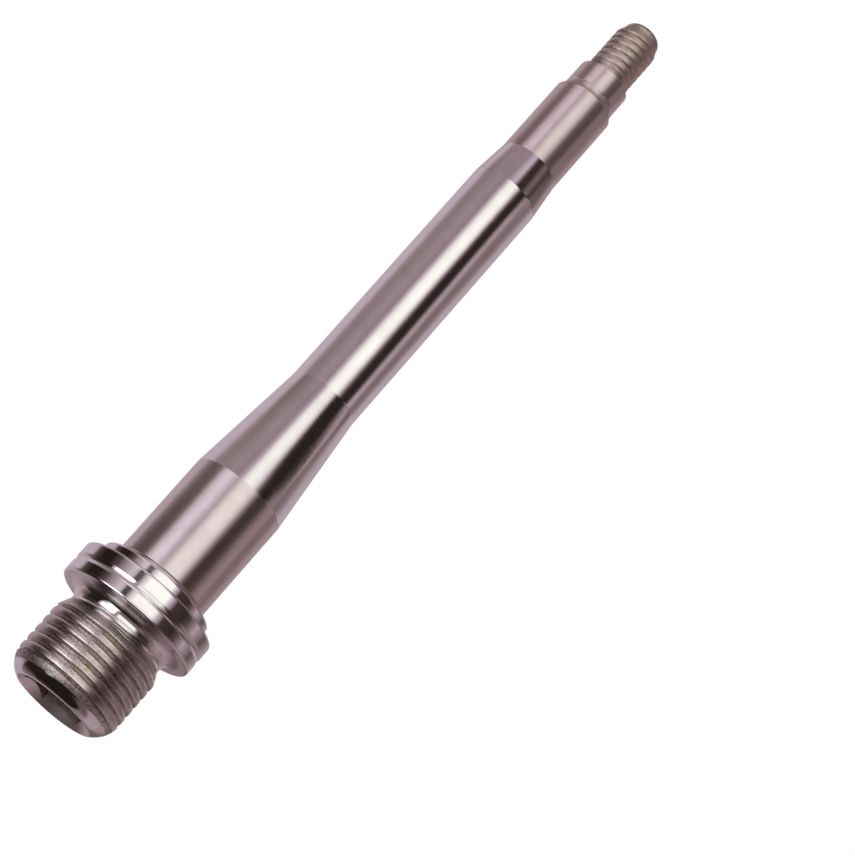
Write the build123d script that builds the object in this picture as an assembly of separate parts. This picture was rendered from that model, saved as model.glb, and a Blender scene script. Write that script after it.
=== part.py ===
"""Left pedal axle of a bicycle, turned from one steel bar.

The axle stands on its crank end. Z runs along the axis towards the outer end,
and the origin is the centre of the crank end face. Millimetres.
"""
from build123d import *
import math
import os

# Crank thread, 9/16 in by 20 to the inch, left-hand. The fine thread is left as a plain
# cylinder over its crests.
crank_thread_d = 14.16
crank_thread_length = 8.7
end_face_d = 10.6
nose_length = 2.9

# Run-out and undercut between the crank thread and the flange
runout_length = 1.5
undercut_d = 12.7
undercut_length = 1.9
undercut_fillet = 1.5

# Flange that bears on the crank arm, with the shallow round groove that marks a left-hand axle
flange_d = 18.0
flange_thickness = 4.1
mark_groove_from_face = 1.95
mark_groove_width = 0.9
mark_groove_depth = 0.12

# Collar behind the flange
collar_d = 14.8
collar_length = 1.5

# Inboard journal, with the grinding relief that lies before it
journal_d = 12.0
journal_length = 13.65
relief_width = 0.65
relief_depth = 0.2

# Waist between two long tapers
inner_taper_length = 15.5
waist_d = 9.0
waist_length = 34.8
outer_taper_length = 5.0

# Seat of the outer bearings, with a chamfer that runs out in a slighter cone
seat_d = 8.0
seat_length = 11.15
seat_chamfer_length = 0.6
chamfer_runout_length = 0.75
chamfer_runout_rise = 0.12

# Small journal behind the nut thread
nut_journal_d = 7.0
nut_journal_length = 3.0
nut_journal_chamfer_length = 0.6

# Nut thread, M6 by 1, also a plain cylinder over its crests, with a slight neck before it
# and a tapered and rounded end
nut_thread_d = 5.86
nut_thread_length = 5.7
neck_length = 0.4
neck_depth = 0.3
tip_taper_length = 1.0
tip_d = 5.0
tip_round = 1.2

# Hex socket in the crank end
socket_across_flats = 8.0
socket_depth = 8.5
socket_mouth_d = 10.1
countersink_angle = 90.0
pilot_hole_d = 7.8
pilot_hole_depth = 9.7
drill_point_angle = 118.0

# Broken edges of the flange and the collar
edge_break = 0.25


def heights():
    """Height of each shoulder of the axle above the crank end face."""
    lengths = {
        "thread_end": crank_thread_length,
        "runout_end": runout_length,
        "flange_face": undercut_length,
        "flange_back": flange_thickness,
        "collar_back": collar_length,
        "journal_start": relief_width,
        "journal_end": journal_length,
        "waist_start": inner_taper_length,
        "waist_end": waist_length,
        "seat_start": outer_taper_length,
        "seat_end": seat_length,
        "seat_chamfer_end": seat_chamfer_length,
        "nut_journal_start": chamfer_runout_length,
        "nut_journal_end": nut_journal_length,
        "neck_start": nut_journal_chamfer_length,
        "nut_thread_start": neck_length,
        "nut_thread_end": nut_thread_length,
        "tip_taper_end": tip_taper_length,
        "tip": tip_round,
    }
    z = {}
    total = 0.0
    for name, length in lengths.items():
        total += length
        z[name] = total
    return z


def flange_outline(z):
    """Points from the flange's crank face, over its rim and the collar, to the journal."""
    flange_r = flange_d / 2
    collar_r = collar_d / 2
    relief_r = journal_d / 2 - relief_depth
    return [
        (flange_r - edge_break, z["flange_face"]),
        (flange_r, z["flange_face"] + edge_break),
        (flange_r, z["flange_back"] - edge_break),
        (flange_r - edge_break, z["flange_back"]),
        (collar_r, z["flange_back"]),
        (collar_r, z["collar_back"] - edge_break),
        (collar_r - edge_break, z["collar_back"]),
        (relief_r, z["collar_back"]),
        (relief_r, z["journal_start"] - relief_depth),
    ]


def shaft_outline(z):
    """Points of the inboard journal, the two tapers with the waist, and the outer seat."""
    journal_r = journal_d / 2
    waist_r = waist_d / 2
    seat_r = seat_d / 2
    return [
        (journal_r, z["journal_start"]),
        (journal_r, z["journal_end"]),
        (waist_r, z["waist_start"]),
        (waist_r, z["waist_end"]),
        (seat_r, z["seat_start"]),
        (seat_r, z["seat_end"]),
    ]


def nut_end_outline(z):
    """Points from the outer seat's chamfer to the foot of the rounded end."""
    journal_r = nut_journal_d / 2
    crest_r = nut_thread_d / 2
    return [
        (journal_r + chamfer_runout_rise, z["seat_chamfer_end"]),
        (journal_r, z["nut_journal_start"]),
        (journal_r, z["nut_journal_end"]),
        (crest_r - neck_depth, z["neck_start"]),
        (crest_r - neck_depth, z["nut_thread_start"] - neck_depth),
        (crest_r, z["nut_thread_start"]),
        (crest_r, z["nut_thread_end"]),
    ]


def turned_blank(z):
    """The solid of revolution: rounded nose, undercut, flange, journals, tapers and rounded end."""
    crest_r = crank_thread_d / 2
    face_r = end_face_d / 2
    undercut_r = undercut_d / 2
    fillet_r = min(undercut_fillet, undercut_length)
    tip_r = tip_d / 2
    points = flange_outline(z) + shaft_outline(z) + nut_end_outline(z)
    with BuildPart() as blank:
        with BuildSketch(Plane.XZ):
            with BuildLine():
                Line((0, 0), (face_r, 0))
                TangentArc((crest_r, nose_length), (face_r, 0), tangent=(0, -1))
                Polyline(
                    (crest_r, nose_length),
                    (crest_r, z["thread_end"]),
                    (undercut_r, z["runout_end"]),
                    (undercut_r, z["flange_face"] - fillet_r),
                )
                TangentArc(
                    (undercut_r, z["flange_face"] - fillet_r),
                    (undercut_r + fillet_r, z["flange_face"]),
                    tangent=(0, 1),
                )
                Polyline((undercut_r + fillet_r, z["flange_face"]), *points)
                Line((nut_thread_d / 2, z["nut_thread_end"]), (tip_r, z["tip_taper_end"]))
                TangentArc(
                    (tip_r, z["tip_taper_end"]),
                    (tip_r - tip_round, z["tip"]),
                    tangent=(0, 1),
                )
                Polyline((tip_r - tip_round, z["tip"]), (0, z["tip"]), (0, 0))
            make_face()
        revolve(axis=Axis.Z)
    return blank.part


def mark_groove(z):
    """Ring with a round section, cut a little way into the flange's rim."""
    half = mark_groove_width / 2
    section_r = (half**2 + mark_groove_depth**2) / (2 * mark_groove_depth)
    section_centre_r = flange_d / 2 - mark_groove_depth + section_r
    middle = z["flange_face"] + mark_groove_from_face
    with BuildPart() as ring:
        with BuildSketch(Plane.XZ):
            with Locations((section_centre_r, middle)):
                Circle(section_r)
        revolve(axis=Axis.Z)
    return ring.part


def hex_socket():
    """Broached hexagon with a conical mouth, over a drilled pilot hole."""
    pilot_r = pilot_hole_d / 2
    mouth_r = socket_mouth_d / 2
    mouth_depth = mouth_r / math.tan(math.radians(countersink_angle / 2))
    point_depth = pilot_r / math.tan(math.radians(drill_point_angle / 2))
    with BuildPart() as socket:
        with BuildSketch():
            RegularPolygon(socket_across_flats / 2, 6, major_radius=False, rotation=30)
        extrude(amount=socket_depth)
        with BuildSketch(Plane.XZ):
            with BuildLine():
                Polyline((0, 0), (mouth_r, 0), (0, mouth_depth), close=True)
            make_face()
            with BuildLine():
                Polyline(
                    (0, 0),
                    (pilot_r, 0),
                    (pilot_r, pilot_hole_depth),
                    (0, pilot_hole_depth + point_depth),
                    close=True,
                )
            make_face()
        revolve(axis=Axis.Z)
    return socket.part


def pedal_axle():
    """The finished axle, one piece."""
    z = heights()
    return turned_blank(z) - mark_groove(z) - hex_socket()


os.makedirs("parts", exist_ok=True)
export_step(pedal_axle(), "parts/pedal_axle.step")
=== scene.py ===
"""Looks of the left pedal axle: its turned and threaded surface, its finishes and a plain studio.

The sizes repeat those of the CAD part, in millimetres, and everything is made in its frame.
"""

import math

import bmesh
import bpy
import numpy as np
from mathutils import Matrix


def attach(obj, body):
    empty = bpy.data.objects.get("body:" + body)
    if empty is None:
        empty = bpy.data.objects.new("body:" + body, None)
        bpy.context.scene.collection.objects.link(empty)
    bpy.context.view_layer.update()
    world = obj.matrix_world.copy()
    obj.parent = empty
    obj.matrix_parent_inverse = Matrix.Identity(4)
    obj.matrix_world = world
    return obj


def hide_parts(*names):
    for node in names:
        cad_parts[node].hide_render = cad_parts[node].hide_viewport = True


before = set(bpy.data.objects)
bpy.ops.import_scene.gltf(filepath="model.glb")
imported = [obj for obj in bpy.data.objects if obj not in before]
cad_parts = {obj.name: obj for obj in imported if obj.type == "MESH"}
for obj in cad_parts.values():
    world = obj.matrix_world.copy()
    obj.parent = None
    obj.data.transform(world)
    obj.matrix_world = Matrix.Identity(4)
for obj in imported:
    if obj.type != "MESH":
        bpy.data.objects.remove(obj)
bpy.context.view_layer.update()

MM = 0.001
COLUMNS = 192
SHADE_SHARP_DEG = 35
MERGE_DISTANCE = 1e-6
camera_azimuth_deg = 193.8

# In both threads the land is a share of the pitch, the crown is how far the land curves down
# from its middle, and groove_at is the height of the first groove on the camera's side.

# Crank end: nose, left-hand thread and its run-out
end_face_r = 5.3
nose_length = 2.9
crank_crest_r = 7.08
crank_thread_first_r = 6.55
crank_thread_end = 8.7
crank_pitch = 1.27
crank_land = 0.60
crank_crown = 0.08
crank_groove_at = 1.94
ridge_end = 9.85
ridge_end_r = 6.54
nose_rise = crank_crest_r - end_face_r
nose_radius = (nose_length ** 2 + nose_rise ** 2) / (2 * nose_rise)
nose_centre_r = crank_crest_r - nose_radius

# Undercut, which sweeps into the flange's crank face
undercut_r = 6.35
undercut_sweep = 1.6
undercut_start = 9.98

# Flange with its shallow groove, and the collar
flange_r = 9.0
flange_face = 12.1
flange_face_rise = 0.04
flange_back = 16.2
groove_middle = 14.05
groove_half = 0.45
groove_bottom = 0.12
collar_r = 7.4
collar_back = 17.7
edge_round = 0.28

# Journal, waist and seats
relief_r = 5.8
relief_slope_length = 0.2
journal_start = 18.35
journal_r = 6.0
journal_end = 32.0
journal_round = 0.06
waist_r = 4.5
waist_start = 47.5
waist_end = 82.3
waist_round = 1.0
seat_r = 4.0
seat_start = 87.3
seat_end = 98.45
seat_chamfer_end = 99.05
seat_chamfer_r = 3.62
seat_round = 0.15
runout_edge = 99.45
nut_journal_r = 3.5
nut_journal_start = 99.8
nut_journal_end = 102.8

# Nut end: slight neck, right-hand thread, tapered and rounded end
neck_start = 103.4
nut_thread_start = 103.8
nut_crest_r = 2.93
neck_r = 2.63
nut_pitch = 1.0
nut_land = 0.73
nut_crown = 0.05
nut_groove_at = 104.2
nut_thread_end = 109.5
tip_taper_end = 110.5
tip_r = 2.5
tip_round = 1.2
tip = 111.7
tip_centre_r = 0.3

# Grooves of both threads: the softness of their edges, the slope of their sides, and how much
# of a sharp groove's depth they keep
thread_lip = 0.10
thread_flank_deg = 30
groove_depth_share = 0.86
LEFT_HAND = -1
RIGHT_HAND = 1

# Hex socket
mouth_r = 5.05
socket_flat_r = 4.0
socket_depth = 8.5
pilot_r = 3.9
pilot_depth = 9.7
pilot_edge = 0.05
drill_point_deg = 118

# Corners: a turn below STRAIGHT_DEG stays as it is, and a rounding takes LONGEST_REACH of a run
# at most
STRAIGHT_DEG = 2
CORNER_STEP_DEG = 15
LONGEST_REACH = 0.45

# Extra rows beside an edge keep the flats flat in shading. Only a run longer than LONG_RUN
# times edge_support gets them.
edge_support = 0.04
mouth_support = 0.03
LONG_RUN = 6

# Points on the curved parts of the outline, and rows of the threads and the socket
NOSE_POINTS = 9
UNDERCUT_POINTS = 15
UNDERCUT_BRIGHT_POINTS = 9
MARK_GROOVE_POINTS = 9
RIM_FACE_POINTS = 2
TIP_POINTS = 10
CRANK_ROWS_PER_PITCH = 20
NUT_ROWS_PER_PITCH = 16
HEXAGON_ROWS = 9
MOUTH_ROWS = 6

# Finishes, by their place in the piece's material slots
(BRIGHT, FACE, GROUND, POLISHED, SEAT, NOSE_LAND, CRANK_THREAD, NUT_THREAD, MOUTH,
 SOCKET) = range(10)


def rounding(before, corner, after, radius):
    """Points that round one corner of a polyline."""
    middle = np.array(corner, float)
    back = np.array(before, float) - middle
    ahead = np.array(after, float) - middle
    run = min(np.linalg.norm(back), np.linalg.norm(ahead))
    back /= np.linalg.norm(back)
    ahead /= np.linalg.norm(ahead)
    turn = math.pi - math.acos(max(-1.0, min(1.0, float(back @ ahead))))
    if turn < math.radians(STRAIGHT_DEG):
        return [tuple(middle)]
    reach = min(radius * math.tan(turn / 2), LONGEST_REACH * run)
    first = middle + back * reach
    last = middle + ahead * reach
    count = max(2, math.ceil(math.degrees(turn) / CORNER_STEP_DEG) + 1)
    return [
        tuple((1 - t) ** 2 * first + 2 * t * (1 - t) * middle + t ** 2 * last)
        for t in np.linspace(0, 1, count)
    ]


def supported(points):
    """Adds a point at a small distance from both ends of each long run."""
    out = [points[0]]
    for a, b in zip(points, points[1:]):
        length = math.dist(a, b)
        if length > LONG_RUN * edge_support:
            share = edge_support / length
            out.append((a[0] + (b[0] - a[0]) * share, a[1] + (b[1] - a[1]) * share))
            out.append((b[0] + (a[0] - b[0]) * share, b[1] + (a[1] - b[1]) * share))
        out.append(b)
    return out


def softened(points, radius):
    """The polyline with each corner rounded, and support points near the ends of long runs."""
    out = [points[0]]
    for before, corner, after in zip(points, points[1:], points[2:]):
        out += rounding(before, corner, after, radius)
    out.append(points[-1])
    return supported(out)


def arc(centre, radius, first_deg, last_deg, count):
    """Points (r, z) on an arc, with angles measured from the outward direction towards +Z."""
    turns = np.radians(np.linspace(first_deg, last_deg, count))
    return [(centre[0] + radius * math.cos(a), centre[1] + radius * math.sin(a)) for a in turns]


def nose_r(z):
    return nose_centre_r + math.sqrt(nose_radius ** 2 - (nose_length - z) ** 2)


def nose_z(r):
    return nose_length - math.sqrt(nose_radius ** 2 - (r - nose_centre_r) ** 2)


def crank_envelope(z):
    """Radius of the blank in which the crank thread is cut."""
    if z < nose_length:
        return nose_r(z)
    if z < crank_thread_end:
        return crank_crest_r
    share = (z - crank_thread_end) / (ridge_end - crank_thread_end)
    return crank_crest_r + (ridge_end_r - crank_crest_r) * share


def nut_envelope(z):
    """Radius of the blank in which the nut thread is cut, with a short lead and the tapered end."""
    if z < nut_thread_start:
        return max(neck_r, nut_crest_r - (nut_thread_start - z))
    if z < nut_thread_end:
        return nut_crest_r
    share = (z - nut_thread_end) / (tip_taper_end - nut_thread_end)
    return nut_crest_r + (tip_r - nut_crest_r) * share


def undercut_outline():
    """From the end of the last ridge down into the undercut and up to the flange's face."""
    centre = (undercut_r + undercut_sweep, flange_face - undercut_sweep)
    first_deg = math.degrees(math.asin((centre[1] - undercut_start) / undercut_sweep))
    sweep = arc(centre, -undercut_sweep, first_deg, -90, UNDERCUT_POINTS)
    return [(ridge_end_r, ridge_end)] + sweep


def rim_outline():
    """The flange's rim with its rounded edges and the shallow groove."""
    face_end_r = undercut_r + undercut_sweep
    section = (groove_half ** 2 + groove_bottom ** 2) / (2 * groove_bottom)
    half_deg = math.degrees(math.asin(groove_half / section))
    centre = (flange_r - groove_bottom + section, groove_middle)
    before = softened([
        (face_end_r, flange_face),
        (flange_r, flange_face + flange_face_rise),
        (flange_r, groove_middle - groove_half),
    ], edge_round)
    groove = arc(centre, -section, half_deg, -half_deg, MARK_GROOVE_POINTS)
    after = softened([
        (flange_r, groove_middle + groove_half),
        (flange_r, flange_back),
        (collar_r, flange_back),
    ], edge_round)
    return before + groove[1:] + after[1:]


def collar_outline():
    return softened([
        (collar_r, flange_back),
        (collar_r, collar_back),
        (relief_r, collar_back),
    ], edge_round)


def journal_outline():
    return softened([
        (relief_r, collar_back),
        (relief_r, journal_start - relief_slope_length),
        (journal_r, journal_start),
        (journal_r, journal_end),
    ], journal_round)


def waist_outline():
    return softened([
        (journal_r, journal_end),
        (waist_r, waist_start),
        (waist_r, waist_end),
        (seat_r, seat_start),
    ], waist_round)


def seat_outline():
    return softened([
        (seat_r, seat_start),
        (seat_r, seat_end),
        (seat_chamfer_r, seat_chamfer_end),
    ], seat_round)


def runout_outline():
    """Slight cone after the chamfer, up to the edge where it is brighter."""
    share = (runout_edge - seat_chamfer_end) / (nut_journal_start - seat_chamfer_end)
    edge_r = seat_chamfer_r + (nut_journal_r - seat_chamfer_r) * share
    return [(seat_chamfer_r, seat_chamfer_end), (edge_r, runout_edge)]


def nut_journal_outline():
    return softened([
        (nut_journal_r, nut_journal_start),
        (nut_journal_r, nut_journal_end),
        (neck_r, neck_start),
        (neck_r, nut_thread_start - nut_crest_r + neck_r),
    ], seat_round)


angles = np.linspace(0, 2 * math.pi, COLUMNS + 1)
rows = []


def add_row(radius, height, finish):
    """One ring of the surface: a radius and a height for each column, and the finish above it."""
    rows.append((radius * np.ones(COLUMNS + 1), height * np.ones(COLUMNS + 1), finish))


def add_outline(points, finish):
    for r, z in points:
        add_row(r, z, finish)


def groove_depth(offset, pitch, land, crown):
    """Depth of a thread at an axial distance from a groove's middle, with broad crowned lands."""
    slope = math.tan(math.radians(thread_flank_deg))
    half_groove = (1 - land) * pitch / 2
    depth = (half_groove - offset) / slope
    eased = (depth + math.hypot(depth, thread_lip)) / 2
    bottom = groove_depth_share * half_groove / slope
    left = bottom - eased
    rounded = bottom - (left + math.hypot(left, thread_lip)) / 2
    from_land = 1 - offset / (pitch / 2)
    return max(0.0, rounded) + crown * from_land ** 2


def add_thread(start, end, crest_r, pitch, land, crown, hand, groove_at, rows_per_pitch,
               envelope, lead_finish, finish):
    """Rows that climb with the thread, held between its two ends and inside its blank.

    The land before the groove at groove_at has the lead's finish.
    """
    facing = math.radians(camera_azimuth_deg)
    origin = groove_at - hand * pitch * facing / (2 * math.pi)
    lowest = math.floor((start - origin) / pitch * rows_per_pitch)
    highest = math.ceil((end - origin) / pitch * rows_per_pitch)
    if hand == RIGHT_HAND:
        lowest -= rows_per_pitch
    else:
        highest += rows_per_pitch
    climb = hand * pitch * angles / (2 * math.pi)
    for row in range(lowest, highest + 1):
        share = row / rows_per_pitch
        offset = abs(share - round(share)) * pitch
        thread_r = crest_r - groove_depth(offset, pitch, land, crown)
        heights = np.clip(origin + share * pitch + climb, start, end)
        radii = np.array([min(thread_r, envelope(z)) for z in heights])
        radii = np.where(heights <= start, envelope(start), radii)
        radii = np.where(heights >= end, envelope(end), radii)
        rows.append((radii, heights, finish if share > 0 else lead_finish))


def add_socket():
    """Drill point, pilot hole, hexagon and its conical mouth, from the inside outwards."""
    from_flat = (angles + math.pi / 6) % (math.pi / 3) - math.pi / 6
    hexagon = socket_flat_r / np.cos(from_flat)
    point_depth = pilot_depth + pilot_r / math.tan(math.radians(drill_point_deg / 2))
    add_row(0, point_depth, SOCKET)
    add_row(pilot_r, pilot_depth, SOCKET)
    add_row(pilot_r, socket_depth + pilot_edge, SOCKET)
    add_row(pilot_r + pilot_edge, socket_depth, SOCKET)
    add_row(hexagon, socket_depth, SOCKET)
    mouth = mouth_r - hexagon
    for share in np.linspace(0, 1, HEXAGON_ROWS):
        add_row(hexagon, socket_depth + (mouth - socket_depth) * share, SOCKET)
    for share in np.linspace(0, 1, MOUTH_ROWS):
        add_row(hexagon + (mouth_r - hexagon) * share, mouth * (1 - share), MOUTH)


def add_crank_end():
    """End face, rounded nose and the left-hand thread, up to the end of its last ridge."""
    thread_start = nose_z(crank_thread_first_r)
    face_deg = math.degrees(math.atan2(nose_length, end_face_r - nose_centre_r))
    first_r = crank_thread_first_r - nose_centre_r
    first_deg = math.degrees(math.atan2(nose_length - thread_start, first_r))
    nose_centre = (nose_centre_r, nose_length)
    end_face = [(mouth_r + mouth_support, 0), (end_face_r - edge_support, 0)]
    nose = arc(nose_centre, nose_radius, -face_deg, -first_deg, NOSE_POINTS)
    add_outline(end_face + nose, BRIGHT)
    add_thread(
        start=thread_start, end=ridge_end, crest_r=crank_crest_r, pitch=crank_pitch,
        land=crank_land, crown=crank_crown, hand=LEFT_HAND, groove_at=crank_groove_at,
        rows_per_pitch=CRANK_ROWS_PER_PITCH, envelope=crank_envelope,
        lead_finish=NOSE_LAND, finish=CRANK_THREAD,
    )


def add_nut_end():
    """Right-hand thread with its tapered end, and the rounded tip."""
    add_thread(
        start=nut_thread_start - nut_crest_r + neck_r, end=tip_taper_end, crest_r=nut_crest_r,
        pitch=nut_pitch, land=nut_land, crown=nut_crown, hand=RIGHT_HAND,
        groove_at=nut_groove_at, rows_per_pitch=NUT_ROWS_PER_PITCH, envelope=nut_envelope,
        lead_finish=NUT_THREAD, finish=NUT_THREAD,
    )
    flat_r = tip_r - tip_round
    round_end = arc((flat_r, tip - tip_round), tip_round, 0, 90, TIP_POINTS)
    tip_face = [(flat_r - edge_support, tip), (tip_centre_r, tip), (0, tip)]
    add_outline(round_end + tip_face, NUT_THREAD)


def add_all_rows():
    """All rows, from the bottom of the socket round the crank end and up to the tip."""
    add_socket()
    add_crank_end()
    sweep = undercut_outline()
    add_outline(sweep[:UNDERCUT_BRIGHT_POINTS], BRIGHT)
    add_outline(sweep[UNDERCUT_BRIGHT_POINTS:], FACE)
    rim = rim_outline()
    add_outline(rim[:RIM_FACE_POINTS], FACE)
    add_outline(rim[RIM_FACE_POINTS:-RIM_FACE_POINTS], BRIGHT)
    add_outline(rim[-RIM_FACE_POINTS:], FACE)
    add_outline(collar_outline(), BRIGHT)
    add_outline(journal_outline(), GROUND)
    add_outline(waist_outline(), POLISHED)
    add_outline(seat_outline(), SEAT)
    runout = runout_outline()
    add_outline(runout, SEAT)
    add_row(*runout[-1], GROUND)
    add_outline(nut_journal_outline(), SEAT)
    add_nut_end()


def row_faces():
    """Faces between each row and the next, and the finish of each face."""
    width = COLUMNS + 1
    faces = []
    finish_of_face = []
    for i in range(len(rows) - 1):
        for j in range(COLUMNS):
            a = i * width + j
            faces.append((a, a + 1, a + 1 + width, a + width))
        finish_of_face += [rows[i][2]] * COLUMNS
    return faces, finish_of_face


def axle_mesh():
    """One closed surface through all the rows."""
    add_all_rows()
    mesh = bpy.data.meshes.new("axle_turned")
    cosines = np.cos(angles)
    sines = np.sin(angles)
    layers = [np.stack([r * cosines, r * sines, z], 1) * MM for r, z, _ in rows]
    points = np.concatenate(layers)
    faces, finish_of_face = row_faces()
    mesh.from_pydata(points.tolist(), [], faces)
    mesh.polygons.foreach_set("material_index", finish_of_face)
    work = bmesh.new()
    work.from_mesh(mesh)
    bmesh.ops.remove_doubles(work, verts=work.verts, dist=MERGE_DISTANCE)
    bmesh.ops.dissolve_degenerate(work, edges=work.edges, dist=MERGE_DISTANCE)
    work.to_mesh(mesh)
    work.free()
    mesh.shade_smooth()
    mesh.set_sharp_from_angle(angle=math.radians(SHADE_SHARP_DEG))
    return mesh


class Nodes:
    """Short calls that add nodes to a material or world tree and link them."""

    def __init__(self, tree):
        self.tree = tree

    def put(self, value, socket):
        if isinstance(value, bpy.types.NodeSocket):
            self.tree.links.new(value, socket)
        else:
            socket.default_value = value

    def add(self, kind, inputs=(), **settings):
        node = self.tree.nodes.new(kind)
        for name, value in settings.items():
            setattr(node, name, value)
        for name, value in dict(inputs).items():
            self.put(value, node.inputs[name])
        return node

    def math(self, operation, a, b=0.0):
        return self.add("ShaderNodeMath", {0: a, 1: b}, operation=operation).outputs[0]

    def remap(self, value, low, high, new_low, new_high, smooth=False):
        kind = "SMOOTHSTEP" if smooth else "LINEAR"
        inputs = {0: value, 1: low, 2: high, 3: new_low, 4: new_high}
        return self.add("ShaderNodeMapRange", inputs, interpolation_type=kind).outputs[0]

    def noise(self, vector, scale, detail, roughness):
        inputs = {"Vector": vector, "Scale": scale, "Detail": detail, "Roughness": roughness}
        return self.add("ShaderNodeTexNoise", inputs).outputs["Fac"]

    def mix(self, share, a, b):
        node = self.add("ShaderNodeMix", data_type="RGBA")
        self.put(share, node.inputs[0])
        self.put(a, node.inputs[6])
        self.put(b, node.inputs[7])
        return node.outputs[2]

    def scaled(self, vector, scale):
        return self.add("ShaderNodeMapping", {"Vector": vector, "Scale": scale}).outputs[0]

    def twisted(self, vector, turns_per_metre):
        """The vector turned about Z, more the higher it lies, so that marks run in a helix."""
        height = self.add("ShaderNodeSeparateXYZ", {0: vector}).outputs[2]
        angle = self.math("MULTIPLY", height, turns_per_metre * 2 * math.pi)
        inputs = {"Vector": vector, "Angle": angle}
        return self.add("ShaderNodeVectorRotate", inputs, rotation_type="Z_AXIS").outputs[0]

    def rings(self, vector, scale):
        """Noise that depends on the distance from the axis and the height, as tool marks do."""
        parts = self.add("ShaderNodeSeparateXYZ", {0: vector}).outputs
        across = self.add("ShaderNodeCombineXYZ", {0: parts[0], 1: parts[1]}).outputs[0]
        radius = self.add("ShaderNodeVectorMath", {0: across}, operation="LENGTH").outputs["Value"]
        place = self.add("ShaderNodeCombineXYZ", {0: radius, 2: parts[2]}).outputs[0]
        return self.noise(place, scale, detail=3.0, roughness=0.6)


# Tones of the bare steel, each with the shade that it drifts to
CHROME = ((0.74, 0.67, 0.69, 1), (0.68, 0.61, 0.62, 1))
SATIN_FACE = ((0.66, 0.58, 0.60, 1), (0.60, 0.52, 0.54, 1))
GROUND_JOURNAL = ((0.72, 0.62, 0.62, 1), (0.66, 0.565, 0.565, 1))
GROUND_SEAT = ((0.74, 0.61, 0.612, 1), (0.68, 0.56, 0.56, 1))
NOSE_LAND_TONES = ((0.54, 0.46, 0.46, 1), (0.44, 0.37, 0.36, 1))
CRANK_THREAD_TONES = ((0.60, 0.52, 0.52, 1), (0.52, 0.44, 0.42, 1))
NUT_THREAD_TONES = ((0.64, 0.525, 0.50, 1), (0.55, 0.44, 0.39, 1))
MOUTH_TONES = ((0.86, 0.74, 0.77, 1), (0.77, 0.66, 0.68, 1))
SOCKET_TONES = ((0.62, 0.49, 0.485, 1), (0.53, 0.415, 0.405, 1))

# Oil stains that show as specks on the threads
OIL = (0.34, 0.28, 0.14, 1)
DARK_OIL = (0.20, 0.15, 0.12, 1)

# Noise of the slow tones, the specks, the tool marks and the streaks: scales per metre
BLOTCH_SCALE = 260
BLOTCH_FADE = (0.35, 0.7)
SPECK_SCALE = 2400
SPECK_FADE = 0.16
SPECK_STRENGTH = 0.7
RING_SCALE = 9000
GROUND_RING_SCALE = 14000
MOUTH_RING_SCALE = 5000
STREAK_SCALES = (5200, 5200, 420)
STREAK_TURNS = 60
GLOSS_FADE = (0.35, 0.65)
RING_SHARE = 0.6
STREAK_SHARE = 0.4

# Heights of the tool marks and the streaks, in metres
POLISHED_RING = 1e-7
THREAD_RING = 2e-7
GROUND_RING = 3e-7
SOCKET_RING = 4e-7
MOUTH_RING = 2e-6
GROUND_STREAK = 8e-7
POLISHED_STREAK = 1.1e-6

# Turns the stretched highlight of a ground surface to run round the axle
QUARTER_TURN = 0.25


def speckled(n, place, colour, speck, speck_from):
    """The colour with specks where the noise is above speck_from."""
    spots = n.noise(place, SPECK_SCALE, detail=3.0, roughness=0.6)
    spots = n.remap(spots, speck_from, speck_from + SPECK_FADE, 0, SPECK_STRENGTH, smooth=True)
    return n.mix(spots, colour, speck)


def steel(name, tones, roughness, vary, ring_depth=POLISHED_RING, ring_scale=RING_SCALE,
          spread=0.0, streak_depth=0.0, speck=None, speck_from=0.51):
    """Bare steel with turning rings, faint streaks, slow changes of tone and, if given, specks.

    The roughness moves by vary either way. spread is the anisotropy of a ground surface.
    """
    material = bpy.data.materials.new(name)
    material.use_nodes = True
    tree = material.node_tree
    tree.nodes.clear()
    n = Nodes(tree)
    place = n.add("ShaderNodeTexCoord").outputs["Object"]
    rings = n.rings(place, ring_scale)
    blotches = n.noise(place, BLOTCH_SCALE, detail=3.0, roughness=0.55)
    helix = n.scaled(n.twisted(place, STREAK_TURNS), STREAK_SCALES)
    streaks = n.noise(helix, 1.0, detail=2.0, roughness=0.6)
    colour = n.mix(n.remap(blotches, *BLOTCH_FADE, 0, 1), *tones)
    if speck:
        colour = speckled(n, place, colour, speck, speck_from)
    ring_part = n.math("MULTIPLY", rings, RING_SHARE)
    streak_part = n.math("MULTIPLY", streaks, STREAK_SHARE)
    marks = n.math("ADD", ring_part, streak_part)
    gloss = n.remap(marks, *GLOSS_FADE, roughness - vary, roughness + vary)
    relief = n.add("ShaderNodeBump", {"Height": rings, "Distance": ring_depth})
    if streak_depth:
        relief = n.add("ShaderNodeBump", {
            "Height": streaks, "Distance": streak_depth, "Normal": relief.outputs[0],
        })
    shader = n.add("ShaderNodeBsdfPrincipled", {
        "Base Color": colour, "Metallic": 1.0, "Roughness": gloss, "Anisotropic": spread,
        "Anisotropic Rotation": QUARTER_TURN, "Normal": relief.outputs[0],
    })
    if spread:
        tangent = n.add("ShaderNodeTangent", direction_type="RADIAL", axis="Z")
        tree.links.new(tangent.outputs[0], shader.inputs["Tangent"])
    n.add("ShaderNodeOutputMaterial", {"Surface": shader.outputs[0]})
    return material


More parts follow.
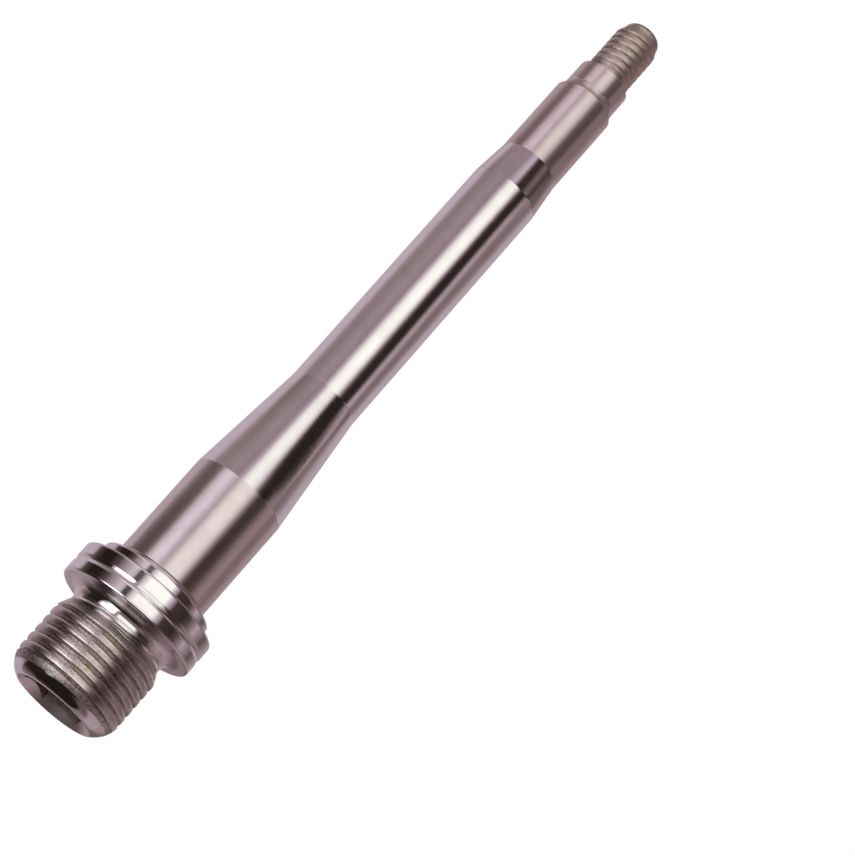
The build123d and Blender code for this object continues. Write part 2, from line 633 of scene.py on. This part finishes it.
def finishes():
    """The materials, in the order of the finish numbers."""
    return [
        steel("steel_bright", CHROME, roughness=0.06, vary=0.02),
        steel("steel_face", SATIN_FACE, roughness=0.28, vary=0.05, ring_depth=GROUND_RING,
              ring_scale=GROUND_RING_SCALE, spread=0.5),
        steel("steel_ground", GROUND_JOURNAL, roughness=0.21, vary=0.05, ring_depth=GROUND_RING,
              ring_scale=GROUND_RING_SCALE, spread=0.7, streak_depth=GROUND_STREAK),
        steel("steel_polished", CHROME, roughness=0.08, vary=0.03, streak_depth=POLISHED_STREAK),
        steel("steel_seat", GROUND_SEAT, roughness=0.32, vary=0.05, ring_depth=GROUND_RING,
              ring_scale=GROUND_RING_SCALE, spread=0.9, streak_depth=GROUND_STREAK),
        steel("steel_nose_land", NOSE_LAND_TONES, roughness=0.42, vary=0.06,
              ring_depth=THREAD_RING, speck=DARK_OIL, speck_from=0.46),
        steel("steel_crank_thread", CRANK_THREAD_TONES, roughness=0.27, vary=0.06,
              ring_depth=THREAD_RING, speck=OIL),
        steel("steel_nut_thread", NUT_THREAD_TONES, roughness=0.44, vary=0.06,
              ring_depth=THREAD_RING, speck=OIL),
        steel("steel_mouth", MOUTH_TONES, roughness=0.45, vary=0.08, ring_depth=MOUTH_RING,
              ring_scale=MOUTH_RING_SCALE),
        steel("steel_socket", SOCKET_TONES, roughness=0.32, vary=0.05, ring_depth=SOCKET_RING),
    ]


def make_axle():
    mesh = axle_mesh()
    for material in finishes():
        mesh.materials.append(material)
    axle = bpy.data.objects.new("axle_turned", mesh)
    bpy.context.scene.collection.objects.link(axle)
    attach(axle, "root")
    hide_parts("pedal_axle")


# Studio walls, the lowest first. Each is a list of the degrees round the axle, from the camera's
# side, with the brightness there. White panels and dark flags give bare metal its bands.
NADIR_LEVEL = 0.02
DEEP_WALL = [
    (-180, 0.19), (-165, 0.13), (-150, 0.10), (-138, 0.05), (-126, 0.02), (20, 0.02), (34, 0.05),
    (47, 0.10), (60, 0.15), (95, 0.15), (111, 0.19), (128, 0.29), (143, 0.36), (156, 0.28),
    (172, 0.20), (180, 0.19),
]
FOOT_WALL = [
    (-180, 0.44), (-160, 0.34), (-150, 0.27), (-140, 0.15), (-130, 0.06), (-122, 0.025),
    (-72, 0.03), (-62, 0.8), (-56, 1.45), (-32, 1.45), (-26, 0.40), (-20, 0.25), (40, 0.24),
    (56, 0.12), (64, 0.16), (78, 0.24), (88, 0.40), (100, 0.46), (146, 0.50), (156, 0.34),
    (170, 0.24), (180, 0.40),
]
UNDER_WALL = [
    (-180, 0.48), (-150, 0.56), (-136, 0.50), (-126, 0.30), (-114, 0.16), (-102, 0.03),
    (-72, 0.02), (-66, 1.0), (-61, 2.4), (-31, 2.4), (-27, 0.45), (-23, 0.45), (-18, 1.35),
    (22, 1.35), (30, 0.25), (36, 0.04), (60, 0.06), (72, 0.26), (92, 0.42), (112, 0.34),
    (130, 0.42), (148, 0.38), (158, 0.20), (172, 0.18), (180, 0.38),
]
THREAD_WALL = [
    (-180, 0.52), (-150, 0.56), (-124, 0.54), (-112, 0.12), (-98, 0.05), (-80, 0.05), (-66, 0.22),
    (-54, 0.62), (-40, 0.92), (-35, 0.75), (-31, 0.35), (-27, 0.38), (-20, 0.72), (-12, 0.88),
    (18, 0.85), (28, 0.45), (38, 0.07), (60, 0.07), (70, 0.13), (80, 0.26), (92, 0.32),
    (104, 0.30), (118, 0.24), (130, 0.32), (145, 0.42), (180, 0.48),
]
LOW_WALL = [
    (-180, 0.56), (-150, 0.60), (-122, 0.62), (-112, 0.10), (-98, 0.02), (-80, 0.02), (-66, 0.10),
    (-52, 0.45), (-40, 0.78), (-35, 0.60), (-32, 0.05), (-26, 0.06), (-20, 0.80), (-12, 1.42),
    (22, 1.42), (30, 0.64), (38, 0.07), (60, 0.04), (70, 0.10), (80, 0.29), (90, 0.55),
    (100, 0.39), (118, 0.14), (130, 0.26), (145, 0.42), (180, 0.50),
]
JOURNAL_WALL = [
    (-180, 0.44), (-150, 0.50), (-122, 0.52), (-112, 0.26), (-100, 0.08), (-80, 0.03), (-70, 0.08),
    (-62, 1.70), (-54, 2.60), (-38, 2.60), (-32, 2.60), (-27, 2.40), (-23, 0.45), (-16, 0.25),
    (-10, 0.80), (0, 0.98), (12, 1.00), (21, 1.00), (30, 0.25), (38, 0.05), (50, 0.08), (60, 0.11),
    (70, 0.19), (78, 0.46), (90, 0.55), (98, 0.10), (114, 0.06), (122, 0.30), (130, 0.45),
    (180, 0.38),
]
HIGH_WALL = [
    (-180, 0.50), (-150, 0.60), (-122, 0.66), (-110, 0.59), (-100, 0.41), (-90, 0.34), (-78, 0.34),
    (-50, 0.42), (-28, 0.37), (-20, 0.70), (-10, 1.22), (0, 1.36), (10, 1.38), (20, 1.12),
    (30, 0.40), (37, 0.08), (46, 0.03), (58, 0.03), (64, 0.09), (70, 0.43), (76, 0.54),
    (82, 0.41), (89, 0.27), (100, 0.26), (111, 0.37), (120, 0.53), (135, 0.57), (180, 0.48),
]
CONE_WALL = [
    (-180, 0.36), (-150, 0.52), (-122, 0.66), (-110, 0.52), (-100, 0.30), (-90, 0.26), (-78, 0.30),
    (-50, 0.41), (-30, 0.37), (-20, 0.56), (-10, 1.15), (0, 1.28), (12, 1.17), (22, 0.72),
    (29, 0.17), (36, 0.025), (67, 0.025), (72, 0.06), (77, 0.26), (80, 0.52), (86, 0.46),
    (93, 0.22), (100, 0.17), (110, 0.20), (118, 0.29), (128, 0.42), (150, 0.45), (180, 0.40),
]
TOP_WALL = [
    (-180, 0.44), (-150, 0.54), (-122, 0.62), (-100, 0.44), (-88, 0.38), (-25, 0.38), (-10, 0.60),
    (0, 0.70), (6, 0.38), (15, 0.04), (32, 0.04), (42, 0.14), (52, 0.23), (64, 0.12), (74, 0.07),
    (88, 0.07), (100, 0.19), (112, 0.33), (124, 0.40), (180, 0.44),
]
ROOF_WALL = [
    (-180, 0.16), (-150, 0.24), (-122, 0.40), (-108, 0.22), (-80, 0.20), (-66, 0.50), (-56, 1.05),
    (-26, 1.05), (-14, 0.95), (6, 1.20), (22, 0.80), (34, 0.42), (60, 0.42), (70, 0.22),
    (128, 0.24), (180, 0.18),
]
ZENITH_LEVEL = 0.20
ZENITH_FADE = (60, 75)

# The walls, each with the two elevations between which it takes over from the one below
WALLS = [
    (DEEP_WALL, -69, -63),
    (FOOT_WALL, -55, -49),
    (UNDER_WALL, -31, -25),
    (THREAD_WALL, -3, 2),
    (LOW_WALL, 12.6, 13.1),
    (JOURNAL_WALL, 14.7, 15.3),
    (HIGH_WALL, 16.8, 17.5),
    (CONE_WALL, 25.5, 26.1),
    (TOP_WALL, 31.5, 35),
    (ROOF_WALL, 40, 44),
]

# How far the edges of the dark flag shift round the axle, in degrees, at each elevation, and
# the azimuths between which that shift comes in and goes out
FLAG_SHIFT = [(19.5, 0), (25.4, 13), (25.7, 1), (26.3, -9), (28.3, 7), (29.8, 14), (34, 0)]
FLAG_BEGIN = (5, 50)
FLAG_END = (60, 130)

# Tint of the walls: how much green and blue a black wall has for its red, how fast both grow
# with the level and up to which level, and the extra blue of panels above LAVENDER_FROM
GREEN_IN_BLACK = 0.70
GREEN_GROWTH = 0.28
GREEN_UP_TO = 1.3
BLUE_IN_BLACK = 0.62
BLUE_GROWTH = 0.60
BLUE_UP_TO = 0.6
LAVENDER_FROM = 1.4
LAVENDER_GROWTH = 0.20

# World's level for what is neither a mirror image nor seen by the camera
PLAIN_LEVEL = 0.72

FLOOR_HALF_WIDTH = 1.5
FLOOR_DROP = 0.00002
FLOOR_NOISE_SCALE = 9
FLOOR_DARK = (0.86, 0.86, 0.86, 1)
FLOOR_LIGHT = (0.88, 0.88, 0.88, 1)

CAMERA_PLACE = (-0.28383, -0.06963, -0.05445)
CAMERA_TURN_DEG = (115.944, -37.727, -95.032)
CAMERA_LENS = 111.9


def wall_colour(level):
    """Darks brown, greys a little mauve, whites almost neutral, the strongest panels lavender."""
    green = GREEN_IN_BLACK + GREEN_GROWTH * min(GREEN_UP_TO, level)
    blue = BLUE_IN_BLACK + BLUE_GROWTH * min(BLUE_UP_TO, level)
    blue += LAVENDER_GROWTH * max(0.0, level - LAVENDER_FROM)
    return (level, level * green, level * blue, 1)


def wall_ramp(n, share, wall):
    """Colour of one wall, with share running from 0 to 1 once round the axle."""
    node = n.add("ShaderNodeValToRGB", {0: share})
    stops = node.color_ramp.elements
    while len(stops) > 1:
        stops.remove(stops[-1])
    for index, (degrees, level) in enumerate(wall):
        place = (degrees + 180) / 360
        stop = stops[0] if index == 0 else stops.new(place)
        stop.position = place
        stop.color = wall_colour(level)
    return node.outputs["Color"]


def narrowed(n, azimuth, elevation):
    """Azimuth in degrees, shifted so that the dark flag changes width along the tapers and waist."""
    shift = FLAG_SHIFT[0][1]
    for (low, before), (high, after) in zip(FLAG_SHIFT, FLAG_SHIFT[1:]):
        shift = n.math("ADD", shift, n.remap(elevation, low, high, 0, after - before))
    begin = n.remap(azimuth, *FLAG_BEGIN, 0, 1, smooth=True)
    end = n.remap(azimuth, *FLAG_END, 1, 0, smooth=True)
    shift = n.math("MULTIPLY", shift, n.math("MULTIPLY", begin, end))
    return n.math("ADD", azimuth, shift)


def studio_walls(n):
    """Colour of the studio in the direction looked at."""
    direction = n.add("ShaderNodeTexCoord").outputs["Generated"]
    turned = n.add("ShaderNodeVectorRotate", {
        "Vector": direction, "Angle": math.radians(-camera_azimuth_deg),
    }, rotation_type="Z_AXIS").outputs[0]
    parts = n.add("ShaderNodeSeparateXYZ", {0: turned}).outputs
    elevation = n.math("DEGREES", n.math("ARCSINE", parts[2]))
    azimuth = n.math("DEGREES", n.math("ARCTAN2", parts[1], parts[0]))
    share = n.remap(narrowed(n, azimuth, elevation), -180, 180, 0, 1)
    colour = wall_colour(NADIR_LEVEL)
    for wall, from_deg, to_deg in WALLS:
        above = n.remap(elevation, from_deg, to_deg, 0, 1, smooth=True)
        colour = n.mix(above, colour, wall_ramp(n, share, wall))
    steep = n.remap(elevation, *ZENITH_FADE, 0, 1, smooth=True)
    return n.mix(steep, colour, wall_colour(ZENITH_LEVEL))


def make_world():
    """White for the camera, the studio walls for mirror images, and a plain level for the rest."""
    world = bpy.data.worlds.new("studio")
    bpy.context.scene.world = world
    world.use_nodes = True
    tree = world.node_tree
    tree.nodes.clear()
    n = Nodes(tree)
    ray = n.add("ShaderNodeLightPath").outputs
    plain = n.add("ShaderNodeBackground", {"Color": (1, 1, 1, 1), "Strength": PLAIN_LEVEL})
    white = n.add("ShaderNodeBackground", {"Color": (1, 1, 1, 1), "Strength": 1.0})
    studio = n.add("ShaderNodeBackground", {"Color": studio_walls(n), "Strength": 1.0})
    shown = n.math("MAXIMUM", ray["Is Camera Ray"], ray["Is Transmission Ray"])
    lit = n.add("ShaderNodeMixShader", {
        0: ray["Is Glossy Ray"], 1: plain.outputs[0], 2: studio.outputs[0],
    })
    last = n.add("ShaderNodeMixShader", {0: shown, 1: lit.outputs[0], 2: white.outputs[0]})
    n.add("ShaderNodeOutputWorld", {"Surface": last.outputs[0]})


def floor_material():
    """Matte and pale from above, clear from beneath."""
    material = bpy.data.materials.new("pale_floor")
    material.use_nodes = True
    tree = material.node_tree
    tree.nodes.clear()
    n = Nodes(tree)
    place = n.add("ShaderNodeTexCoord").outputs["Object"]
    noise = n.noise(place, FLOOR_NOISE_SCALE, detail=2.0, roughness=0.5)
    colour = n.mix(noise, FLOOR_DARK, FLOOR_LIGHT)
    matte = n.add("ShaderNodeBsdfDiffuse", {"Color": colour})
    clear = n.add("ShaderNodeBsdfTransparent")
    beneath = n.add("ShaderNodeNewGeometry").outputs["Backfacing"]
    both = n.add("ShaderNodeMixShader", {0: beneath, 1: matte.outputs[0], 2: clear.outputs[0]})
    n.add("ShaderNodeOutputMaterial", {"Surface": both.outputs[0]})
    return material


def make_floor():
    """Pale floor under the axle. The camera is beneath it and looks through."""
    half = FLOOR_HALF_WIDTH
    mesh = bpy.data.meshes.new("floor")
    corners = [(-half, -half, 0), (half, -half, 0), (half, half, 0), (-half, half, 0)]
    mesh.from_pydata(corners, [], [(0, 1, 2, 3)])
    mesh.materials.append(floor_material())
    floor = bpy.data.objects.new("floor", mesh)
    floor.location = (0, 0, -FLOOR_DROP)
    floor.visible_glossy = False
    bpy.context.scene.collection.objects.link(floor)


def make_lamp(name, place, size, watts):
    """Round soft lamp that points at the foot of the axle and isn't mirrored in the metal."""
    data = bpy.data.lights.new(name, "AREA")
    data.shape = "DISK"
    data.size = size
    data.energy = watts
    lamp = bpy.data.objects.new(name, data)
    lamp.location = place
    direction = -lamp.location.normalized()
    lamp.rotation_euler = direction.to_track_quat("-Z", "Y").to_euler()
    lamp.visible_glossy = False
    bpy.context.scene.collection.objects.link(lamp)


def make_camera():
    """Looks up the axle from its crank end, as the photograph does."""
    data = bpy.data.cameras.new("camera")
    data.lens = CAMERA_LENS
    data.sensor_width = 36
    data.clip_start = 0.01
    data.clip_end = 20
    camera = bpy.data.objects.new("camera", data)
    camera.location = CAMERA_PLACE
    camera.rotation_euler = [math.radians(a) for a in CAMERA_TURN_DEG]
    bpy.context.scene.collection.objects.link(camera)
    bpy.context.scene.camera = camera


make_camera()
make_axle()
make_world()
make_floor()
make_lamp("soft_key", place=(-0.7, -0.5, 0.9), size=0.9, watts=5.0)
make_lamp("soft_fill", place=(0.8, 0.4, 0.8), size=0.9, watts=2.0)
bpy.context.scene.view_settings.view_transform = "Standard"
